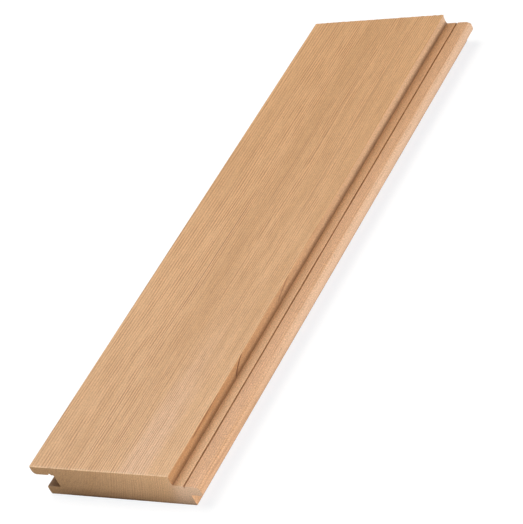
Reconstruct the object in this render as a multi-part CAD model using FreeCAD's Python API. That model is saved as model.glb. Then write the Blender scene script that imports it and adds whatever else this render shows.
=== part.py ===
import FreeCAD, Part
import math
import os

# A tongue and groove cladding board, moulded from one piece of clear softwood.
# It lies on its back with the show face up and its length along Y.
# The groove edge is on the left (-X) and the tongue edge on the right (+X).
# The origin is the middle of the back, on the surface that the board lies on.
# Sizes are in millimetres.

# The board and its show face
board_length = 500.0
board_thickness = 28.0
face_width = 124.0
channel_width = 5.4
arris_radius = 0.6

# Groove edge: a long front lip over a shorter back lip
front_lip_thickness = 8.0
front_lip_nose_radius = 3.2
back_lip_setback = 5.4
back_lip_nose_radius = 1.8
groove_corner_radius = 0.4

# Tongue edge: a hollow shoulder, an open channel, the tongue and the back shoulder
cove_hollow = 1.0
cove_foot_setback = 0.5
tongue_length = 10.2
tongue_thickness = 8.8
tongue_bevel_width = 3.9
tongue_bevel_angle = 20.0
tongue_front_nose_radius = 2.0
tongue_back_nose_radius = 2.5
tongue_root_radius = 0.6

# Running fit of the tongue in the groove of the next board
front_gap = 1.0
back_gap = 2.0
end_gap = 2.6

# Two V notches that break the path of water: a narrow one in the tongue, a wide one in the lip
tongue_notch_width = 1.4
tongue_notch_depth = 2.0
tongue_notch_root_radius = 0.2
tongue_notch_cover = 3.3
lip_notch_width = 3.0
lip_notch_depth = 2.0
lip_notch_root_radius = 0.3
lip_notch_setback = 14.9

# Places across the board, measured from the end of the front lip
cover_pitch = face_width + channel_width
back_shoulder = cover_pitch + back_lip_setback
overall_width = back_shoulder + tongue_length
groove_bottom = back_lip_setback + tongue_length + end_gap
cove_foot = face_width - cove_foot_setback
bevel_start = overall_width - tongue_bevel_width
tongue_notch_place = cover_pitch + tongue_notch_cover

# Depths below the show face
tongue_top = front_lip_thickness + front_gap
tongue_underside = tongue_top + tongue_thickness
back_lip_top = tongue_underside + back_gap
bevel_drop = tongue_bevel_width * math.tan(math.radians(tongue_bevel_angle))


def section_point(across, depth):
    """A point of the section at the near end, from the lip end and the show face."""
    return FreeCAD.Vector(across - overall_width / 2, -board_length / 2, board_thickness - depth)


def rounded_corner(start, before, corner, after):
    """The straight up to a corner and the arc that turns it, and where the arc ends."""
    point = section_point(*corner[:2])
    radius = corner[2]
    if radius == 0:
        return [Part.LineSegment(start, point).toShape()], point
    back = (section_point(*before[:2]) - point).normalize()
    onward = (section_point(*after[:2]) - point).normalize()
    half_angle = back.getAngle(onward) / 2
    tangent = radius / math.tan(half_angle)
    inward = (back + onward).normalize()
    middle = point + inward * (radius / math.sin(half_angle) - radius)
    arc_start = point + back * tangent
    arc_end = point + onward * tangent
    straight = Part.LineSegment(start, arc_start).toShape()
    turn = Part.Arc(arc_start, middle, arc_end).toShape()
    return [straight, turn], arc_end


def rounded_path(corners):
    """Edges through (across, depth, radius) corners; the first and the last are its ends."""
    edges = []
    start = section_point(*corners[0][:2])
    for before, corner, after in zip(corners, corners[1:], corners[2:]):
        stretch, start = rounded_corner(start, before, corner, after)
        edges.extend(stretch)
    end = section_point(*corners[-1][:2])
    edges.append(Part.LineSegment(start, end).toShape())
    return edges


def tongue_notch_corners():
    """The narrow V notch in the top of the tongue, from left to right."""
    half = tongue_notch_width / 2
    return [
        (tongue_notch_place - half, tongue_top, 0),
        (tongue_notch_place, tongue_top + tongue_notch_depth, tongue_notch_root_radius),
        (tongue_notch_place + half, tongue_top, 0),
    ]


def lip_notch_corners():
    """The wide V notch in the underside of the front lip, from right to left."""
    half = lip_notch_width / 2
    return [
        (lip_notch_setback + half, front_lip_thickness, 0),
        (lip_notch_setback, front_lip_thickness - lip_notch_depth, lip_notch_root_radius),
        (lip_notch_setback - half, front_lip_thickness, 0),
    ]


def cove_arc():
    """The hollow front shoulder: its foot stands a little behind the edge of the show face."""
    face_edge = section_point(face_width, 0)
    deepest = section_point(face_width - cove_hollow, tongue_top / 2)
    foot = section_point(cove_foot, tongue_top)
    return Part.Arc(face_edge, deepest, foot).toShape()


def tongue_corners():
    """From the foot of the cove along the channel, over the notch and round the tongue."""
    return [
        (cove_foot, tongue_top, 0),
        *tongue_notch_corners(),
        (bevel_start, tongue_top, 0),
        (overall_width, tongue_top + bevel_drop, tongue_front_nose_radius),
        (overall_width, tongue_underside, tongue_back_nose_radius),
        (back_shoulder, tongue_underside, tongue_root_radius),
    ]


def groove_corners():
    """From the back of the board round both lips and the groove to the show face."""
    return [
        (back_shoulder, board_thickness, arris_radius),
        (back_lip_setback, board_thickness, arris_radius),
        (back_lip_setback, back_lip_top, back_lip_nose_radius),
        (groove_bottom, back_lip_top, groove_corner_radius),
        (groove_bottom, front_lip_thickness, groove_corner_radius),
        *lip_notch_corners(),
        (0, front_lip_thickness, front_lip_nose_radius),
        (0, 0, arris_radius),
        (face_width, 0, 0),
    ]


def make_board():
    """The moulded section, run through the whole length of the board."""
    outline = rounded_path(tongue_corners() + groove_corners())
    outline.append(cove_arc())
    section = Part.Face(Part.Wire(outline))
    return section.extrude(FreeCAD.Vector(0, board_length, 0))


board = make_board()
os.makedirs("parts", exist_ok=True)
board.exportStep("parts/board.step")

box = board.BoundBox
print("board valid:", board.isValid(), "volume in mm3:", round(board.Volume))
print("width, length, thickness:", round(box.XLength, 3), round(box.YLength, 3), round(box.ZLength, 3))
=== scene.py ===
import math
from types import SimpleNamespace

import bpy
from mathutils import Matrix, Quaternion, Vector


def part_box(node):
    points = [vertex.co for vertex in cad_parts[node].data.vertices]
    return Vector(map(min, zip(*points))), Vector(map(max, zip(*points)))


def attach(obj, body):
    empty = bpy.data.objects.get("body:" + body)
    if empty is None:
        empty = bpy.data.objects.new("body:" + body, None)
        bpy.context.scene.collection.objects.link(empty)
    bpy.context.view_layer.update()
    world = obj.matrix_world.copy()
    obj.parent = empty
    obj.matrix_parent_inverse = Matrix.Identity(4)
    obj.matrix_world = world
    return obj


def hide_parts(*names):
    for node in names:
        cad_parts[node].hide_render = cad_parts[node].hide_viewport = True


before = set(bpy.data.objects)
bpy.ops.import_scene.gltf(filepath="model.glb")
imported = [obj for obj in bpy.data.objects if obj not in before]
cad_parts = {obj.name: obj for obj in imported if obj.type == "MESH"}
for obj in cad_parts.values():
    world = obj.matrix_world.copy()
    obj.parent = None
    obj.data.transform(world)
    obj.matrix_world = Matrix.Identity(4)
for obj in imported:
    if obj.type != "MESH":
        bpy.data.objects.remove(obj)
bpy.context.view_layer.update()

# The board: one length of fine-grained softwood, planed and moulded on four sides in one
# pass through a moulder, then cut to length with a saw. It is one piece, and the same
# section runs from end to end.
MM = 0.001
board_low, board_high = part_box("board")
board_length = board_high.y - board_low.y
board_thickness = (board_high.z - board_low.z) / MM
overall_width = (board_high.x - board_low.x) / MM

# Places across the board in mm, from the end of the front lip
face_width = 124.0
cover_pitch = 129.4
back_lip_setback = 5.4
back_shoulder = cover_pitch + back_lip_setback
groove_bottom = 18.2
cove_foot_setback = 0.5
bevel_width = 3.9
bevel_start = overall_width - bevel_width
tongue_notch_place = cover_pitch + 3.3
tongue_notch_width = 1.4
lip_notch_place = 14.9
lip_notch_width = 3.0

# Depths in mm below the show face
front_lip_thickness = 8.0
tongue_top = 9.0
tongue_underside = 17.8
back_lip_top = 19.8
bevel_drop = bevel_width * math.tan(math.radians(20.0))
notch_depth = 2.0
cove_hollow = 1.0

# Corner radii in mm
arris_radius = 0.6
groove_corner_radius = 0.4
lip_nose_radius = 3.2
back_lip_nose_radius = 1.8
tongue_front_nose_radius = 2.0
tongue_back_nose_radius = 2.5
cutter_tip_radius = 0.2

# How far apart the mesh's points stand along the section, in mm
fine_run = 0.34
plain_run = 0.5
back_run = 1.2


def notch(place, surface, width, depth):
    """The corners of a V notch. A negative width and depth turn it upside down."""
    return [
        (place - width / 2, surface, 0, plain_run),
        (place, surface + depth, cutter_tip_radius, plain_run),
        (place + width / 2, surface, 0, plain_run),
    ]


cove_steps = 12


def cove():
    """The hollow shoulder, from below the edge of the show face down to its foot."""
    points = []
    for step in range(1, cove_steps):
        share = step / cove_steps
        straight = face_width - cove_foot_setback * share
        hollow = 4 * (cove_hollow - cove_foot_setback / 2) * share * (1 - share)
        points.append((straight - hollow, tongue_top * share, 0, plain_run))
    return points


# Corners of the section: across, depth, corner radius and the point spacing of the run after it
section_corners = [
    (face_width - cove_foot_setback, tongue_top, arris_radius, plain_run),
    *notch(tongue_notch_place, tongue_top, tongue_notch_width, notch_depth),
    (bevel_start, tongue_top, 0, plain_run),
    (overall_width, tongue_top + bevel_drop, tongue_front_nose_radius, plain_run),
    (overall_width, tongue_underside, tongue_back_nose_radius, plain_run),
    (back_shoulder, tongue_underside, arris_radius, plain_run),
    (back_shoulder, board_thickness, arris_radius, back_run),
    (back_lip_setback, board_thickness, arris_radius, plain_run),
    (back_lip_setback, back_lip_top, back_lip_nose_radius, plain_run),
    (groove_bottom, back_lip_top, groove_corner_radius, plain_run),
    (groove_bottom, front_lip_thickness, groove_corner_radius, plain_run),
    *notch(lip_notch_place, front_lip_thickness, -lip_notch_width, -notch_depth),
    (0, front_lip_thickness, lip_nose_radius, plain_run),
    (0, 0, arris_radius, fine_run),
    (face_width, 0, cutter_tip_radius, plain_run),
    *cove(),
]


def section_mesh(corners):
    """The section as a closed outline, drawn flat: X is across and Y is the depth."""
    mesh = bpy.data.meshes.new("board_section")
    points = [((across - overall_width / 2) * MM, depth * MM, 0) for across, depth, _, _ in corners]
    count = len(points)
    mesh.from_pydata(points, [(i, (i + 1) % count) for i in range(count)], [])
    for name, column in (("corner_radius", 2), ("point_spacing", 3)):
        attribute = mesh.attributes.new(name, "FLOAT", "POINT")
        attribute.data.foreach_set("value", [corner[column] * MM for corner in corners])
    return mesh


def add(tree, kind, settings=None, inputs=None):
    """Adds one node with its settings. An input is given a number, a socket or another node."""
    node = tree.nodes.new(kind)
    for name, value in (settings or {}).items():
        setattr(node, name, value)
    for key, value in (inputs or {}).items():
        if isinstance(value, bpy.types.Node):
            value = value.outputs[0]
        if isinstance(value, bpy.types.NodeSocket):
            tree.links.new(value, node.inputs[key])
        else:
            node.inputs[key].default_value = value
    return node


# The tree's heart lay up and to the left of the board, so the growth rings stand steeply in
# it and come out on the show face as fine, nearly straight lines. Places are in mm.
heart = (-130.0, 0, 92.0)
grain_slope = 0.011

# The rings wander slowly and waver quickly: how far, and how much noise passes per mm
ring_wander = 7.0
wander_per_mm = (0.015, 0.0052, 0.015)
ring_waver = 1.2
waver_per_mm = (0.1, 0.014, 0.1)


def ring_distance(tree, place):
    """How far a place in mm lies from the heart of the tree, so equal values make one ring."""
    slow = add(tree, "ShaderNodeVectorMath", {"operation": "MULTIPLY"}, {0: place, 1: wander_per_mm})
    bend = add(tree, "ShaderNodeTexNoise", {}, {"Vector": slow, "Scale": 1.0, "Detail": 1.0})
    quick = add(tree, "ShaderNodeVectorMath", {"operation": "MULTIPLY"}, {0: place, 1: waver_per_mm})
    waver = add(tree, "ShaderNodeTexNoise", {},
                {"Vector": quick, "Scale": 1.0, "Detail": 2.0, "Roughness": 0.6})
    offset = add(tree, "ShaderNodeVectorMath", {"operation": "SUBTRACT"}, {0: place, 1: heart})
    flat = add(tree, "ShaderNodeVectorMath", {"operation": "MULTIPLY"}, {0: offset, 1: (1, 0, 1)})
    radius = add(tree, "ShaderNodeVectorMath", {"operation": "LENGTH"}, {0: flat})
    along = add(tree, "ShaderNodeSeparateXYZ", {}, {0: place})
    sloped = add(tree, "ShaderNodeMath", {"operation": "MULTIPLY_ADD"},
                 {0: along.outputs[1], 1: -grain_slope, 2: radius.outputs[1]})
    bent = add(tree, "ShaderNodeMath", {"operation": "MULTIPLY_ADD"}, {0: bend, 1: ring_wander, 2: sloped})
    return add(tree, "ShaderNodeMath", {"operation": "MULTIPLY_ADD"}, {0: waver, 1: ring_waver, 2: bent})


# How unevenly the rings follow one another, in rings, and how quickly that changes, per mm
ring_uneven = 1.0
uneven_per_mm = 0.09

# How quickly the rings grow narrower, and how wide they are at one distance, in mm
ring_power = 1.23
ring_width_near_heart = 2.06
ring_width_taken_at = 105.0


def ring_phase(tree, distance):
    """Where a place stands in its own ring, from 0 in the spring wood to 1 in the late wood.

    The rings grow narrower away from the heart, so their count rises faster than the distance.
    """
    slow = add(tree, "ShaderNodeMath", {"operation": "MULTIPLY"}, {0: distance, 1: uneven_per_mm})
    uneven = add(tree, "ShaderNodeTexNoise", {"noise_dimensions": "1D"},
                 {"W": slow, "Scale": 1.0, "Detail": 2.0})
    rings_per_power = 1 / (ring_power * ring_width_near_heart * ring_width_taken_at ** (ring_power - 1))
    raised = add(tree, "ShaderNodeMath", {"operation": "POWER"}, {0: distance, 1: ring_power})
    counted = add(tree, "ShaderNodeMath", {"operation": "MULTIPLY"}, {0: raised, 1: rings_per_power})
    rings = add(tree, "ShaderNodeMath", {"operation": "MULTIPLY_ADD"},
                {0: uneven, 1: ring_uneven, 2: counted})
    return add(tree, "ShaderNodeMath", {"operation": "FRACT"}, {0: rings})


def rounded_section(tree, sizes):
    """The section with arcs at its corners and points at their own spacing along its long runs."""
    outline = add(tree, "GeometryNodeMeshToCurve", {}, {"Mesh": sizes["Section"]})
    corner_radius = add(tree, "GeometryNodeInputNamedAttribute", {}, {"Name": "corner_radius"})
    rounded = add(tree, "GeometryNodeFilletCurve", {"mode": "POLY"},
                  {"Curve": outline, "Count": sizes["Corner Steps"], "Radius": corner_radius})
    here = add(tree, "GeometryNodeInputPosition")
    following = add(tree, "GeometryNodeOffsetPointInCurve", {},
                    {"Point Index": add(tree, "GeometryNodeInputIndex"), "Offset": 1})
    there = add(tree, "GeometryNodeFieldAtIndex", {"data_type": "FLOAT_VECTOR"},
                {"Value": here, "Index": following.outputs["Point Index"]})
    run = add(tree, "ShaderNodeVectorMath", {"operation": "DISTANCE"}, {0: here, 1: there})
    spacing = add(tree, "GeometryNodeInputNamedAttribute", {}, {"Name": "point_spacing"})
    cuts = add(tree, "ShaderNodeMath", {"operation": "DIVIDE"}, {0: run.outputs[1], 1: spacing})
    divided = add(tree, "GeometryNodeSubdivideCurve", {}, {"Curve": rounded, "Cuts": cuts})
    tangent = add(tree, "ShaderNodeSeparateXYZ", {}, {0: add(tree, "GeometryNodeInputTangent")})
    outward = add(tree, "ShaderNodeCombineXYZ", {}, {0: tangent.outputs[1], 2: tangent.outputs[0]})
    return add(tree, "GeometryNodeStoreNamedAttribute", {"data_type": "FLOAT_VECTOR"},
               {"Geometry": divided, "Name": "outward", "Value": outward})


def path_along(tree, sizes, half_length):
    """A line through the board, with rows that gather towards its two sawn ends."""
    line = add(tree, "GeometryNodeCurvePrimitiveLine", {}, {"Start": (0, 0, 0), "End": (0, 1, 0)})
    rows = add(tree, "GeometryNodeResampleCurve", {}, {"Curve": line, "Count": sizes["Rows"]})
    share = add(tree, "GeometryNodeSplineParameter")
    turn = add(tree, "ShaderNodeMath", {"operation": "MULTIPLY_ADD"}, {0: share, 1: math.pi, 2: -math.pi / 2})
    gathered = add(tree, "ShaderNodeMath", {"operation": "SINE"}, {0: turn})
    place_along = add(tree, "ShaderNodeMath", {"operation": "MULTIPLY"}, {0: gathered, 1: half_length})
    station = add(tree, "ShaderNodeCombineXYZ", {}, {1: place_along, 2: sizes["Thickness"]})
    return add(tree, "GeometryNodeSetPosition", {}, {"Geometry": rows, "Position": station})


# How far the saw's arris reaches in along the board, in metres
arris_reach = 0.0006


def sawn_arris(tree, sizes, half_length, where, in_mm):
    """How far the saw's uneven arris lies inside the section: most at the show face, at both ends."""
    from_middle = add(tree, "ShaderNodeMath", {"operation": "ABSOLUTE"}, {0: where.outputs[1]})
    from_end = add(tree, "ShaderNodeMath", {"operation": "SUBTRACT"}, {0: half_length, 1: from_middle})
    at_end = add(tree, "ShaderNodeMapRange", {},
                 {"Value": from_end, "From Max": arris_reach, "To Min": 1.0, "To Max": 0.0})
    splinters = add(tree, "ShaderNodeTexNoise", {}, {"Vector": in_mm, "Scale": 0.35, "Detail": 2.0})
    broken = add(tree, "ShaderNodeMapRange", {},
                 {"Value": splinters, "From Min": 0.35, "From Max": 0.65, "To Min": 0.5, "To Max": 1.4})
    from_back = add(tree, "ShaderNodeMath", {"operation": "DIVIDE"},
                    {0: where.outputs[2], 1: sizes["Thickness"]})
    at_face = add(tree, "ShaderNodeMapRange", {},
                  {"Value": from_back, "From Min": 0.9, "From Max": 1.0, "To Min": 0.3, "To Max": 1.0})
    worn = at_end
    for share in (broken, at_face, sizes["End Arris"]):
        worn = add(tree, "ShaderNodeMath", {"operation": "MULTIPLY"}, {0: worn, 1: share})
    return worn


# Edges that turn more than this stay sharp
sharp_turn = math.radians(32)


def moulding_tree():
    """Rounds the corners of the section, runs it along the board and roughens it a little."""
    tree = bpy.data.node_groups.new("moulded_length", "GeometryNodeTree")
    for name, kind in (
        ("Section", "NodeSocketGeometry"),
        ("Length", "NodeSocketFloat"),
        ("Thickness", "NodeSocketFloat"),
        ("Rows", "NodeSocketInt"),
        ("Corner Steps", "NodeSocketInt"),
        ("End Arris", "NodeSocketFloat"),
        ("Late Wood Relief", "NodeSocketFloat"),
        ("Wood", "NodeSocketMaterial"),
    ):
        tree.interface.new_socket(name, in_out="INPUT", socket_type=kind)
    tree.interface.new_socket("Board", in_out="OUTPUT", socket_type="NodeSocketGeometry")
    sizes = add(tree, "NodeGroupInput").outputs
    half_length = add(tree, "ShaderNodeMath", {"operation": "MULTIPLY"}, {0: sizes["Length"], 1: 0.5})
    run_out = add(tree, "GeometryNodeCurveToMesh", {},
                  {"Curve": path_along(tree, sizes, half_length),
                   "Profile Curve": rounded_section(tree, sizes), "Fill Caps": True})

    # The sawn arris and the soft spring wood lie a little inside the section, and the hard
    # late wood keeps to it
    position = add(tree, "GeometryNodeInputPosition")
    where = add(tree, "ShaderNodeSeparateXYZ", {}, {0: position})
    in_mm = add(tree, "ShaderNodeVectorMath", {"operation": "SCALE"}, {0: position, "Scale": 1 / MM})
    phase = ring_phase(tree, ring_distance(tree, in_mm))
    hollow = add(tree, "ShaderNodeMath", {"operation": "SUBTRACT"}, {0: phase, 1: 1.0})
    relief = add(tree, "ShaderNodeMath", {"operation": "MULTIPLY"}, {0: hollow, 1: sizes["Late Wood Relief"]})
    shift = add(tree, "ShaderNodeMath", {"operation": "SUBTRACT"},
                {0: relief, 1: sawn_arris(tree, sizes, half_length, where, in_mm)})
    normal = add(tree, "GeometryNodeInputNamedAttribute", {"data_type": "FLOAT_VECTOR"}, {"Name": "outward"})
    offset = add(tree, "ShaderNodeVectorMath", {"operation": "SCALE"}, {0: normal, "Scale": shift})
    eased = add(tree, "GeometryNodeSetPosition", {}, {"Geometry": run_out, "Offset": offset.outputs[0]})

    # Smooth shading breaks only at true corners
    smooth = add(tree, "GeometryNodeSetShadeSmooth", {"domain": "FACE"},
                 {"Geometry": eased, "Shade Smooth": True})
    bend = add(tree, "GeometryNodeInputMeshEdgeAngle")
    sharp = add(tree, "FunctionNodeCompare", {"operation": "GREATER_THAN"}, {0: bend, 1: sharp_turn})
    edged = add(tree, "GeometryNodeSetShadeSmooth", {"domain": "EDGE"},
                {"Geometry": smooth, "Selection": sharp, "Shade Smooth": False})
    bare = edged
    for name in ("corner_radius", "point_spacing", "outward"):
        bare = add(tree, "GeometryNodeRemoveAttribute", {}, {"Geometry": bare, "Name": name})
    real = add(tree, "GeometryNodeRealizeInstances", {}, {"Geometry": bare})
    finished = add(tree, "GeometryNodeSetMaterial", {}, {"Geometry": real, "Material": sizes["Wood"]})
    add(tree, "NodeGroupOutput", {}, {0: finished})
    return tree


def linear(hex_colour):
    """An sRGB hex colour as the linear RGBA that a shader takes."""
    channels = [int(hex_colour[i:i + 2], 16) / 255 for i in (1, 3, 5)]
    return (*[c / 12.92 if c <= 0.04045 else ((c + 0.055) / 1.055) ** 2.4 for c in channels], 1.0)


def band(tree, value, low, high, soft):
    """1 while a value lies between low and high, falling to 0 over a soft edge on each side."""
    rise = add(tree, "ShaderNodeMapRange", {"interpolation_type": "SMOOTHSTEP"},
               {"Value": value, "From Min": low - soft, "From Max": low})
    fall = add(tree, "ShaderNodeMapRange", {"interpolation_type": "SMOOTHSTEP"},
               {"Value": value, "From Min": high, "From Max": high + soft, "To Min": 1.0, "To Max": 0.0})
    return add(tree, "ShaderNodeMath", {"operation": "MULTIPLY"}, {0: rise, 1: fall})


def tinted(tree, colour, tint, *shares):
    """Lays a tint over a colour, as strongly as its shares multiplied together."""
    strength = shares[0]
    for share in shares[1:]:
        strength = add(tree, "ShaderNodeMath", {"operation": "MULTIPLY"}, {0: strength, 1: share})
    mixed = add(tree, "ShaderNodeMix", {"data_type": "RGBA"}, {0: strength, 6: colour, 7: tint})
    return mixed.outputs[2]


sapwood_from = 196.0
sapwood_by = 212.0


def wood_fields(tree):
    """Where a point of the wood lies, how far from the heart, and which way it was cut."""
    seen = add(tree, "ShaderNodeTexCoord")
    place = add(tree, "ShaderNodeVectorMath", {"operation": "SCALE"},
                {0: seen.outputs["Object"], "Scale": 1 / MM})
    where = add(tree, "ShaderNodeSeparateXYZ", {}, {0: place})
    facing = add(tree, "ShaderNodeSeparateXYZ", {}, {0: seen.outputs["Normal"]})
    wood = SimpleNamespace(place=place, along=where.outputs[1], distance=ring_distance(tree, place))
    wood.across = add(tree, "ShaderNodeMath", {"operation": "ADD"},
                      {0: where.outputs[0], 1: overall_width / 2})
    wood.depth = add(tree, "ShaderNodeMath", {"operation": "SUBTRACT"},
                     {0: board_thickness, 1: where.outputs[2]})
    wood.end_on = add(tree, "ShaderNodeMath", {"operation": "ABSOLUTE"}, {0: facing.outputs[1]})
    wood.sawn = add(tree, "ShaderNodeMapRange", {}, {"Value": wood.end_on, "From Min": 0.75, "From Max": 0.9})
    wood.long_grain = add(tree, "ShaderNodeMath", {"operation": "SUBTRACT"}, {0: 1.0, 1: wood.sawn})
    wood.sapwood = add(tree, "ShaderNodeMapRange", {"interpolation_type": "SMOOTHSTEP"},
                       {"Value": wood.distance, "From Min": sapwood_from, "From Max": sapwood_by})
    return wood


def noise_by_ring(tree, wood, per_ring, per_length, detail, roughness):
    """A noise that changes from ring to ring and more slowly along each ring."""
    in_rings = add(tree, "ShaderNodeMath", {"operation": "MULTIPLY"}, {0: wood.distance, 1: per_ring})
    in_length = add(tree, "ShaderNodeMath", {"operation": "MULTIPLY"}, {0: wood.along, 1: per_length})
    ring_place = add(tree, "ShaderNodeCombineXYZ", {}, {0: in_rings, 1: in_length})
    return add(tree, "ShaderNodeTexNoise", {"noise_dimensions": "2D"},
               {"Vector": ring_place, "Scale": 1.0, "Detail": detail, "Roughness": roughness})


def ring_lines(tree, wood):
    """How dark the late wood is at a place: thin lines that fade and return along their length."""
    late = add(tree, "ShaderNodeValToRGB", {}, {"Fac": ring_phase(tree, wood.distance)})
    stops = late.color_ramp.elements
    stops[0].position, stops[0].color = 0.0, (0.45, 0.45, 0.45, 1)
    stops[1].position, stops[1].color = 1.0, (0.6, 0.6, 0.6, 1)
    for position, value in ((0.12, 0.0), (0.5, 0.05), (0.75, 0.85), (0.9, 1.0)):
        stops.new(position).color = (value, value, value, 1)
    strength = add(tree, "ShaderNodeMapRange", {},
                   {"Value": noise_by_ring(tree, wood, 0.22, 0.03, 3.0, 0.6),
                    "From Min": 0.35, "From Max": 0.65, "To Min": 0.35, "To Max": 0.95})
    # The finest rings are drawn darker, so that they show, and the lines fade in the young sapwood
    fine = add(tree, "ShaderNodeMapRange", {},
               {"Value": wood.distance, "From Min": 95.0, "From Max": 140.0, "To Min": 0.85, "To Max": 1.15})
    young = add(tree, "ShaderNodeMapRange", {},
                {"Value": wood.distance, "From Min": 145.0, "From Max": 215.0, "To Min": 1.0, "To Max": 0.47})
    for factor in (fine, young):
        strength = add(tree, "ShaderNodeMath", {"operation": "MULTIPLY"}, {0: strength, 1: factor})
    return add(tree, "ShaderNodeMath", {"operation": "MULTIPLY"}, {0: late, 1: strength})


# Dark streaks of resin in single rings: distance from the heart, from and to along the
# board, width, all in mm, and how dark they are
resin_streaks = (
    (104.2, -20, 260, 0.3, 0.4),
    (106.6, -20, 260, 0.3, 0.4),
    (126.9, -75, 15, 0.5, 0.55),
    (126.9, -260, 180, 0.4, 0.15),
    (142.8, 40, 130, 0.4, 0.4),
    (142.8, -260, 40, 0.4, 0.15),
    (155.1, 80, 170, 0.4, 0.4),
    (157.9, -260, -200, 0.4, 0.2),
    (174.8, 25, 205, 0.9, 0.25),
    (146.2, 20, 220, 0.5, 0.2),
    (190.8, -200, -100, 0.5, 0.2),
)
streak_fade = 25.0


def streaks(tree, wood):
    """The resin streaks, each kept to its own ring."""
    total = 0.0
    for ring, start, end, width, darkness in resin_streaks:
        in_ring = band(tree, wood.distance, ring - width / 2, ring + width / 2, width / 2)
        in_reach = band(tree, wood.along, start, end, streak_fade)
        streak = add(tree, "ShaderNodeMath", {"operation": "MULTIPLY"}, {0: in_ring, 1: in_reach})
        total = add(tree, "ShaderNodeMath", {"operation": "MULTIPLY_ADD"}, {0: streak, 1: darkness, 2: total})
    return total


# Slanting marks on the hollow shoulder, where its cutter met turned grain: where each starts
# along the board, its length and width in mm, how steeply it sinks and how dark it is
shoulder_marks = (
    (-174, 36, 0.9, 0.043, 0.85),
    (-134, 13, 1.6, 0.53, 1.0),
    (-54, 18, 1.6, 0.26, 0.5),
)
mark_start_depth = 0.5
mark_fade = 4.0


def marks(tree, wood):
    """The slanting marks, which start just below the show face and sink towards the near end."""
    total = 0.0
    for start, length, width, fall, darkness in shoulder_marks:
        line = add(tree, "ShaderNodeMath", {"operation": "MULTIPLY_ADD"},
                   {0: wood.along, 1: fall, 2: wood.depth})
        level = mark_start_depth + start * fall
        on_line = band(tree, line, level - width / 4, level + width / 4, width / 2)
        in_reach = band(tree, wood.along, start - length, start, mark_fade)
        mark = add(tree, "ShaderNodeMath", {"operation": "MULTIPLY"}, {0: on_line, 1: in_reach})
        total = add(tree, "ShaderNodeMath", {"operation": "MULTIPLY_ADD"}, {0: mark, 1: darkness, 2: total})
    return total


# Planed softwood with its rings on edge, unfinished: pale orange-tan spring wood, thin darker
# lines of late wood, paler sapwood in the tongue, and a low satin sheen.
# spring_wood is the near end's colour and carries a painted sheen; far_spring_wood is the wood away from it
spring_wood = linear("#DCB083")
far_spring_wood = linear("#DAAA7A")
late_wood = linear("#A47041")
amber_band = linear("#C29465")
toned_sapwood = linear("#D4A57D")
# A pale tone laid on only as a painted highlight and a painted sheen
painted_sheen_pale = linear("#E0B896")
# Resin brown for the streaks, also laid on as painted shade at the shoulder's foot
resin_and_painted_shade = linear("#8A5A35")


def sound_wood(tree, wood):
    """Spring wood, paler towards the near end as a painted sheen, and sapwood on the tongue's side."""
    # The near end is paler than the far end: a painted sheen, not the wood's own tone
    to_far = add(tree, "ShaderNodeMapRange", {}, {"Value": wood.along, "From Min": -230.0, "From Max": 120.0})
    colour = tinted(tree, spring_wood, far_spring_wood, to_far)
    colour = tinted(tree, colour, toned_sapwood, wood.sapwood)

    # Near the near end a band of outer rings is paler, a painted highlight, and the oldest wood is a shade
    # deeper
    painted_highlight_band = band(tree, wood.distance, 166.0, 176.0, 12.0)
    at_near_end = add(tree, "ShaderNodeMapRange", {"interpolation_type": "SMOOTHSTEP"},
                      {"Value": wood.along, "From Min": -225.0, "From Max": -60.0,
                       "To Min": 0.66, "To Max": 0.0})
    colour = tinted(tree, colour, painted_sheen_pale, painted_highlight_band, at_near_end, wood.long_grain)
    old_wood = add(tree, "ShaderNodeMapRange", {},
                   {"Value": wood.distance, "From Min": 90.0, "From Max": 165.0,
                    "To Min": 0.22, "To Max": 0.0})
    before_middle = add(tree, "ShaderNodeMapRange", {},
                        {"Value": wood.along, "From Min": -240.0, "From Max": 0.0,
                         "To Min": 1.0, "To Max": 0.0})
    return tinted(tree, colour, amber_band, old_wood, before_middle, wood.long_grain)


def growth_rings(tree, wood, colour):
    """Lines of late wood, fainter on the sawn ends, bands of deeper rings, and resin."""
    cut_along = add(tree, "ShaderNodeMapRange", {}, {"Value": wood.sawn, "To Min": 1.0, "To Max": 0.58})
    colour = tinted(tree, colour, late_wood, ring_lines(tree, wood), cut_along)
    banded = add(tree, "ShaderNodeMapRange", {},
                 {"Value": noise_by_ring(tree, wood, 0.075, 0.006, 2.0, 0.55),
                  "From Min": 0.42, "From Max": 0.75, "To Min": 0.0, "To Max": 0.5})
    colour = tinted(tree, colour, amber_band, banded)
    middle = band(tree, wood.distance, 134.0, 150.0, 8.0)
    past_near_end = add(tree, "ShaderNodeMapRange", {},
                        {"Value": wood.along, "From Min": -230.0, "From Max": -90.0, "To Max": 0.25})
    colour = tinted(tree, colour, amber_band, middle, past_near_end)
    return tinted(tree, colour, resin_and_painted_shade, streaks(tree, wood))


shoulder_painted_shade = linear("#A97B51")
shoulder_painted_sheen = linear("#D0AE8D")
mark_brown = linear("#6E4223")


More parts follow.
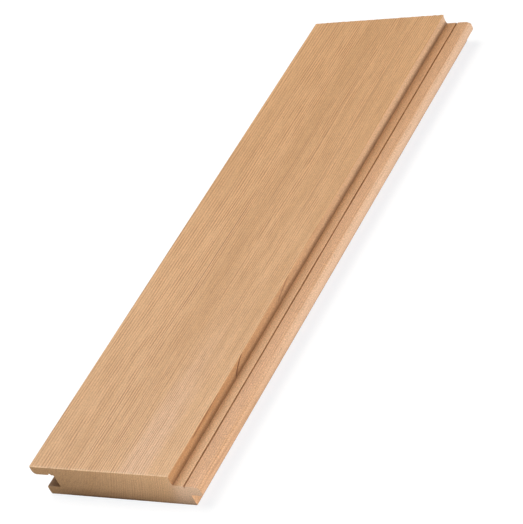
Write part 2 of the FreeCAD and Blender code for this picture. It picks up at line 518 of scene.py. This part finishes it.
def shoulder_wall(tree, wood, colour):
    """The hollow shoulder, its colour partly painted light: warmer painted shade near the near end, a pale
    painted sheen near the far end, painted shade at its foot, and real slanting marks.
    """
    on_wall = band(tree, wood.across, face_width - 2.0, face_width - 0.05, 0.05)
    below_face = band(tree, wood.depth, 0.5, tongue_top - 0.2, 0.3)
    shoulder = add(tree, "ShaderNodeMath", {"operation": "MULTIPLY"}, {0: on_wall, 1: below_face})
    shoulder = add(tree, "ShaderNodeMath", {"operation": "MULTIPLY"}, {0: shoulder, 1: wood.long_grain})
    # Painted light along the wall: warmer painted shade near the near end, turning to a pale painted sheen
    # near the far end
    to_far = add(tree, "ShaderNodeMapRange", {"interpolation_type": "SMOOTHSTEP"},
                 {"Value": wood.along, "From Min": -210.0, "From Max": 160.0})
    colour = tinted(tree, colour, tinted(tree, shoulder_painted_shade, shoulder_painted_sheen, to_far), shoulder, 0.8)
    # Painted shade darkens the shoulder's foot, in the corner above the channel
    foot_painted_shade = add(tree, "ShaderNodeMapRange", {"interpolation_type": "SMOOTHSTEP"},
               {"Value": wood.depth, "From Min": 5.2, "From Max": 8.6, "To Max": 0.68})
    colour = tinted(tree, colour, resin_and_painted_shade, shoulder, foot_painted_shade)
    return tinted(tree, colour, mark_brown, shoulder, marks(tree, wood))


channel_painted_shade = linear("#BB865A")
channel_painted_light = linear("#E0B589")
channel_painted_highlight = linear("#F7C797")


def channel_floor(tree, wood, colour):
    """The channel's floor with painted light: painted shade at the far end, painted light at the near end and
    a painted highlight by the shoulder.
    """
    in_channel = band(tree, wood.across, face_width, tongue_notch_place - 0.9, 0.4)
    planed_low = add(tree, "ShaderNodeMapRange", {},
                     {"Value": wood.depth, "From Min": tongue_top - 0.4, "From Max": tongue_top})
    channel = add(tree, "ShaderNodeMath", {"operation": "MULTIPLY"}, {0: in_channel, 1: planed_low})
    # Painted shade darkens the channel towards the far end
    at_far_end = add(tree, "ShaderNodeMapRange", {"interpolation_type": "SMOOTHSTEP"},
                     {"Value": wood.along, "From Min": 0.0, "From Max": 180.0, "To Max": 0.48})
    colour = tinted(tree, colour, channel_painted_shade, channel, at_far_end, wood.long_grain)
    # The painted light at the near end is not kept to the long grain, so it shows on the sawn end below the
    # channel too
    at_near_end = add(tree, "ShaderNodeMapRange", {"interpolation_type": "SMOOTHSTEP"},
                      {"Value": wood.along, "From Min": -220.0, "From Max": 0.0,
                       "To Min": 0.8, "To Max": 0.15})
    colour = tinted(tree, colour, channel_painted_light, channel, at_near_end)
    # A painted highlight brightens the channel beside the shoulder's foot, where the corner shades it
    by_shoulder = add(tree, "ShaderNodeMapRange", {},
                      {"Value": wood.across, "From Min": 124.8, "From Max": 127.2,
                       "To Min": 0.5, "To Max": 0.0})
    return tinted(tree, colour, channel_painted_highlight, channel, by_shoulder, wood.long_grain)


back_shoulder_painted_light = linear("#E8B587")


def tongue_edge(tree, wood, colour):
    """The tongue's bevel and nose get a pale painted sheen past the near end, its back shoulder a fresh
    orange painted light.
    """
    # A pale painted sheen lies on the bevel and nose past the near end
    on_nose = band(tree, wood.across, bevel_start + 2.1, overall_width + 1.0, 0.5)
    past_near_end = add(tree, "ShaderNodeMapRange", {"interpolation_type": "SMOOTHSTEP"},
                        {"Value": wood.along, "From Min": -210.0, "From Max": -40.0, "To Max": 0.8})
    colour = tinted(tree, colour, painted_sheen_pale, on_nose, past_near_end, wood.long_grain)
    # Painted light brightens the back shoulder under the tongue
    under_tongue = band(tree, wood.depth, tongue_underside + 0.2, board_thickness, 0.2)
    on_shoulder = band(tree, wood.across, back_shoulder - 0.1, back_shoulder + 0.1, 0.1)
    return tinted(tree, colour, back_shoulder_painted_light, under_tongue, on_shoulder, wood.long_grain)


notch_painted_shade = linear("#864822")
groove_painted_shade = linear("#8E6639")


def notch_and_groove(tree, wood, colour):
    """The narrow notch and the groove's walls, darkened brown by painted shade in these recesses."""
    notch_half = tongue_notch_width / 2 + 0.05
    in_notch = band(tree, wood.across, tongue_notch_place - notch_half, tongue_notch_place + notch_half, 0.05)
    # Painted shade darkens the notch below the tongue's top
    below_top = add(tree, "ShaderNodeMapRange", {},
                    {"Value": wood.depth, "From Min": tongue_top + 0.02, "From Max": tongue_top + 0.4,
                     "To Max": 0.2})
    colour = tinted(tree, colour, notch_painted_shade, in_notch, below_top, wood.long_grain)
    # Painted shade darkens the groove's walls between the lips
    in_groove = band(tree, wood.across, back_lip_setback - 3.0, groove_bottom + 0.05, 0.1)
    between_lips = band(tree, wood.depth, front_lip_thickness + 0.1, back_lip_top + 0.1, 0.2)
    return tinted(tree, colour, groove_painted_shade, in_groove, between_lips, wood.long_grain)


sawn_end = linear("#B68E63")
sawn_sapwood_and_painted_light = linear("#E4BE9C")
# A brown for the torn flecks, also laid on as painted shade low on the ends
fleck_and_shade_brown = linear("#80583A")
back_line_painted_shade = linear("#64401A")


def sawn_ends(tree, wood, colour):
    """The sawn ends: duller in the old wood, pale in the sapwood, partly as painted light, flecked with torn
    fibres, and darker towards the back by painted shade.
    """
    dull = add(tree, "ShaderNodeMapRange", {},
               {"Value": wood.distance, "From Min": 110.0, "From Max": 195.0, "To Min": 0.95, "To Max": 0.15})
    dulled = add(tree, "ShaderNodeMath", {"operation": "MULTIPLY"}, {0: wood.sawn, 1: dull})
    colour = tinted(tree, colour, sawn_end, dulled)
    # The sapwood on the ends is paler, partly its own tone and partly painted light on the tongue's side
    colour = tinted(tree, colour, sawn_sapwood_and_painted_light, wood.sawn, wood.sapwood)
    across_rings = add(tree, "ShaderNodeMath", {"operation": "MULTIPLY"}, {0: wood.distance, 1: 0.6})
    down_rings = add(tree, "ShaderNodeMath", {"operation": "MULTIPLY"}, {0: wood.depth, 1: 0.2})
    torn_place = add(tree, "ShaderNodeCombineXYZ", {}, {0: across_rings, 1: down_rings, 2: wood.along})
    torn = add(tree, "ShaderNodeTexNoise", {},
               {"Vector": torn_place, "Scale": 1.0, "Detail": 4.0, "Roughness": 0.7})
    flecks = add(tree, "ShaderNodeMapRange", {},
                 {"Value": torn, "From Min": 0.48, "From Max": 0.66, "To Max": 0.35})
    colour = tinted(tree, colour, fleck_and_shade_brown, flecks, dulled)

    # Painted shade darkens the end towards the back of the board, with a darker painted line along the back
    # edge, hardly into the back lip, and less by the tongue
    past_lip = add(tree, "ShaderNodeMapRange", {},
                   {"Value": wood.across, "From Min": 12.0, "From Max": 30.0, "To Min": 0.1})
    towards_tongue = add(tree, "ShaderNodeMapRange", {},
                         {"Value": wood.across, "From Min": 70.0, "From Max": 110.0,
                          "To Min": 1.0, "To Max": 0.4})
    low = add(tree, "ShaderNodeMapRange", {"interpolation_type": "SMOOTHSTEP"},
              {"Value": wood.depth, "From Min": 16.0, "From Max": 28.0, "To Max": 0.45})
    along_back = add(tree, "ShaderNodeMapRange", {},
                     {"Value": wood.depth, "From Min": 25.6, "From Max": 27.4, "To Max": 0.68})
    for painted_shade_tone, reach in ((fleck_and_shade_brown, low), (back_line_painted_shade, along_back)):
        colour = tinted(tree, colour, painted_shade_tone, wood.sawn, reach, past_lip, towards_tongue)
    return colour


arris_highlight_tone = linear("#EBC9A0")


def painted_arris_highlight(tree, wood, colour):
    """A painted highlight along the saw's arris round the show face, where the light catches its edge."""
    on_arris = band(tree, wood.end_on, 0.3, 0.8, 0.1)
    at_show_face = add(tree, "ShaderNodeMapRange", {},
                       {"Value": wood.depth, "From Min": 0.6, "From Max": 2.0, "To Min": 0.45, "To Max": 0.0})
    return tinted(tree, colour, arris_highlight_tone, on_arris, at_show_face)


def fibre_noise(tree, wood):
    """Long streaks that run with the board.

    Real fibres are under 0.1 mm wide. They are drawn about 1 mm wide so that they show.
    """
    stretched = add(tree, "ShaderNodeVectorMath", {"operation": "MULTIPLY"},
                    {0: wood.place, 1: (1.1, 0.07, 1.1)})
    return add(tree, "ShaderNodeTexNoise", {},
               {"Vector": stretched, "Scale": 1.0, "Detail": 3.0, "Roughness": 0.7})


def fibre_shade(tree, wood, fibres):
    """How the fibres and the pits between them shade the colour. The planed face shows fewer pits."""
    streaky = add(tree, "ShaderNodeMapRange", {},
                  {"Value": fibres, "From Min": 0.25, "From Max": 0.75, "To Min": 0.9, "To Max": 1.1})
    pits = add(tree, "ShaderNodeTexNoise", {},
               {"Vector": wood.place, "Scale": 1.2, "Detail": 2.0, "Roughness": 0.7})
    off_middle = add(tree, "ShaderNodeMath", {"operation": "SUBTRACT"}, {0: pits, 1: 0.5})
    below_face = add(tree, "ShaderNodeMapRange", {},
                     {"Value": wood.depth, "From Min": 0.1, "From Max": 1.0, "To Min": 0.75, "To Max": 1.35})
    pitted = add(tree, "ShaderNodeMath", {"operation": "MULTIPLY_ADD"},
                 {0: off_middle, 1: below_face, 2: 1.0})
    return add(tree, "ShaderNodeMath", {"operation": "MULTIPLY"}, {0: streaky, 1: pitted})


def wood_material():
    """The wood as a solid: every surface shows the same rings, cut its own way."""
    material = bpy.data.materials.new("planed_softwood_on_edge_grain")
    material.use_nodes = True
    tree = material.node_tree
    tree.nodes.clear()
    wood = wood_fields(tree)
    colour = sound_wood(tree, wood)
    for feature in (growth_rings, shoulder_wall, channel_floor, tongue_edge, notch_and_groove, sawn_ends,
                    painted_arris_highlight):
        colour = feature(tree, wood, colour)
    fibres = fibre_noise(tree, wood)
    colour = add(tree, "ShaderNodeVectorMath", {"operation": "SCALE"},
                 {0: colour, "Scale": fibre_shade(tree, wood, fibres)})

    # The fibres are a fine relief as well. The planed surface is satin and the ends are rough
    bump = add(tree, "ShaderNodeBump", {}, {"Strength": 0.5, "Distance": 0.00008, "Height": fibres})
    rough = add(tree, "ShaderNodeMapRange", {}, {"Value": wood.sawn, "To Min": 0.5, "To Max": 0.85})
    shader = add(tree, "ShaderNodeBsdfPrincipled", {},
                 {"Base Color": colour, "Roughness": rough, "IOR": 1.5, "Normal": bump})
    add(tree, "ShaderNodeOutputMaterial", {}, {"Surface": shader})
    return material


def made_solid(name, mesh, tree, values):
    """Runs a tree on a mesh and keeps the result as a plain mesh object."""
    drawing = bpy.data.objects.new(name + "_drawing", mesh)
    bpy.context.scene.collection.objects.link(drawing)
    modifier = drawing.modifiers.new("shape", "NODES")
    modifier.node_group = tree
    for socket in tree.interface.items_tree:
        if socket.in_out == "INPUT" and socket.name in values:
            modifier[socket.identifier] = values[socket.name]
    evaluated = drawing.evaluated_get(bpy.context.evaluated_depsgraph_get())
    solid = bpy.data.objects.new(name, bpy.data.meshes.new_from_object(evaluated))
    bpy.context.scene.collection.objects.link(solid)
    bpy.data.objects.remove(drawing)
    return solid


board = made_solid(
    "moulded_board",
    section_mesh(section_corners),
    moulding_tree(),
    {
        "Length": board_length,
        "Thickness": board_thickness * MM,
        "Rows": 73,
        "Corner Steps": 6,
        "End Arris": 0.0004,
        "Late Wood Relief": 0.00003,
        "Wood": wood_material(),
    },
)
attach(board, "root")
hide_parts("board")


# The floor: a plain pale studio sweep. The eye sees it white with the board's soft shadow on
# it, and it throws back only part of the light onto the wood.
floor_half_size = 6.0
floor_white = linear("#938C83")
floor_glow = linear("#F4F8FC")
floor_bounce = linear("#C8C8C8")
floor_lift = 0.86
full_white_from = 0.5
full_white_by = 1.1


def floor_material():
    """White to the camera and in reflections, mid grey to the light that bounces off it."""
    material = bpy.data.materials.new("pale_studio_floor")
    material.use_nodes = True
    tree = material.node_tree
    tree.nodes.clear()
    ray = add(tree, "ShaderNodeLightPath")
    mirrored = add(tree, "ShaderNodeMath", {"operation": "MAXIMUM"},
                   {0: ray.outputs["Is Glossy Ray"], 1: ray.outputs["Is Transmission Ray"]})
    watched = add(tree, "ShaderNodeMath", {"operation": "MAXIMUM"},
                  {0: ray.outputs["Is Camera Ray"], 1: mirrored})
    white = add(tree, "ShaderNodeBsdfDiffuse", {}, {"Color": floor_white})
    # Away from the board, where the lamps hardly reach, the glow alone makes the floor white
    seen = add(tree, "ShaderNodeTexCoord")
    from_board = add(tree, "ShaderNodeVectorMath", {"operation": "LENGTH"}, {0: seen.outputs["Object"]})
    away = add(tree, "ShaderNodeMapRange", {"interpolation_type": "SMOOTHSTEP"},
               {"Value": from_board.outputs[1], "From Min": full_white_from, "From Max": full_white_by})
    glow = tinted(tree, floor_glow, (1, 1, 1, 1), away)
    strength = add(tree, "ShaderNodeMapRange", {}, {"Value": away, "To Min": floor_lift})
    lift = add(tree, "ShaderNodeEmission", {}, {"Color": glow, "Strength": strength})
    bright = add(tree, "ShaderNodeAddShader", {}, {0: white, 1: lift})
    bounce = add(tree, "ShaderNodeBsdfDiffuse", {}, {"Color": floor_bounce})
    mixed = add(tree, "ShaderNodeMixShader", {}, {0: watched, 1: bounce, 2: bright})
    add(tree, "ShaderNodeOutputMaterial", {}, {"Surface": mixed})
    return material


floor_mesh = bpy.data.meshes.new("studio_floor")
floor_sides = ((-1, -1), (1, -1), (1, 1), (-1, 1))
floor_corners = [(x * floor_half_size, y * floor_half_size, 0) for x, y in floor_sides]
floor_mesh.from_pydata(floor_corners, [], [(0, 1, 2, 3)])
floor_mesh.materials.append(floor_material())
floor = bpy.data.objects.new("studio_floor", floor_mesh)
bpy.context.scene.collection.objects.link(floor)

# The light: an even set of soft panels, most of them overhead and to the groove side, with
# low panels that fill the tongue edge and the near end.
bpy.context.scene.view_settings.view_transform = "Standard"
world = bpy.data.worlds.new("studio")
bpy.context.scene.world = world
world.use_nodes = True
world.node_tree.nodes["Background"].inputs["Color"].default_value = (1, 1, 1, 1)
world.node_tree.nodes["Background"].inputs["Strength"].default_value = 0.0
panel_distance = 2.0
panel_size = 1.0
low_panel_size = 0.66
lying_panel_height = 0.001


def panel(name, width, height, power):
    """A rectangular softbox, not yet placed."""
    lamp = bpy.data.lights.new(name, "AREA")
    lamp.shape = "RECTANGLE"
    lamp.size = width
    lamp.size_y = height
    lamp.energy = power
    box = bpy.data.objects.new(name, lamp)
    box.visible_camera = False
    box.rotation_mode = "QUATERNION"
    bpy.context.scene.collection.objects.link(box)
    return box


def standing_panel(name, azimuth, elevation, power, height=panel_size):
    """A softbox that faces the board. Azimuth is turned from the near end towards the tongue."""
    box = panel(name, panel_size, height, power)
    turn, rise = math.radians(azimuth), math.radians(elevation)
    towards = Vector((math.sin(turn) * math.cos(rise), -math.cos(turn) * math.cos(rise), math.sin(rise)))
    box.location = towards * panel_distance
    box.rotation_quaternion = towards.to_track_quat("Z", "Y")


def lying_panel(name, across, along, width, length, power):
    """A softbox that lies on the floor and shines up past the board's edge."""
    box = panel(name, width, length, power)
    box.location = (across, along, lying_panel_height)
    box.rotation_quaternion = Quaternion((1, 0, 0), math.pi)


standing_panel("top_panel", 0, 90, 9.5)
standing_panel("back_panel", 225, 65, 16.0)
standing_panel("groove_panel", 270, 45, 15.0)
standing_panel("high_groove_panel", 270, 72, 4.0)
standing_panel("low_tongue_panel", 90, 9.6, 16.7, low_panel_size)
standing_panel("low_front_panel", 20, 9.6, 4.6, low_panel_size)
lying_panel("tongue_floor_panel", 0.32, 0.0, 0.35, 1.2, 4.9)
lying_panel("front_floor_panel", 0.1, -0.55, 1.0, 0.4, 3.4)

# A small softbox lights the corner where the tongue meets the near end
corner_box_place = Vector((0.46, -0.60, 0.38))
corner_box_aim = Vector((0.05, -0.25, 0.02))
corner_box = panel("corner_box", 0.3, 0.3, 0.8)
corner_box.location = corner_box_place
corner_box.rotation_quaternion = (corner_box_place - corner_box_aim).to_track_quat("Z", "Y")

# The camera stands to the right of the near end and looks down on the board, turned about
# its own axis so that the board runs up the picture to the right.
camera_place = Vector((0.9682, -1.0108, 0.9533))
camera_aim = Vector((0.0208, -0.0401, 0.0280))
camera_roll = math.radians(-28.61)
camera_lens = 153.07
camera_data = bpy.data.cameras.new("camera")
camera_data.lens = camera_lens
camera_data.clip_start = 0.05
camera_data.clip_end = 50
camera = bpy.data.objects.new("camera", camera_data)
bpy.context.scene.collection.objects.link(camera)
camera.location = camera_place
camera.rotation_mode = "QUATERNION"
level = (camera_aim - camera_place).to_track_quat("-Z", "Y")
camera.rotation_quaternion = level @ Quaternion((0, 0, 1), camera_roll)
bpy.context.scene.camera = camera
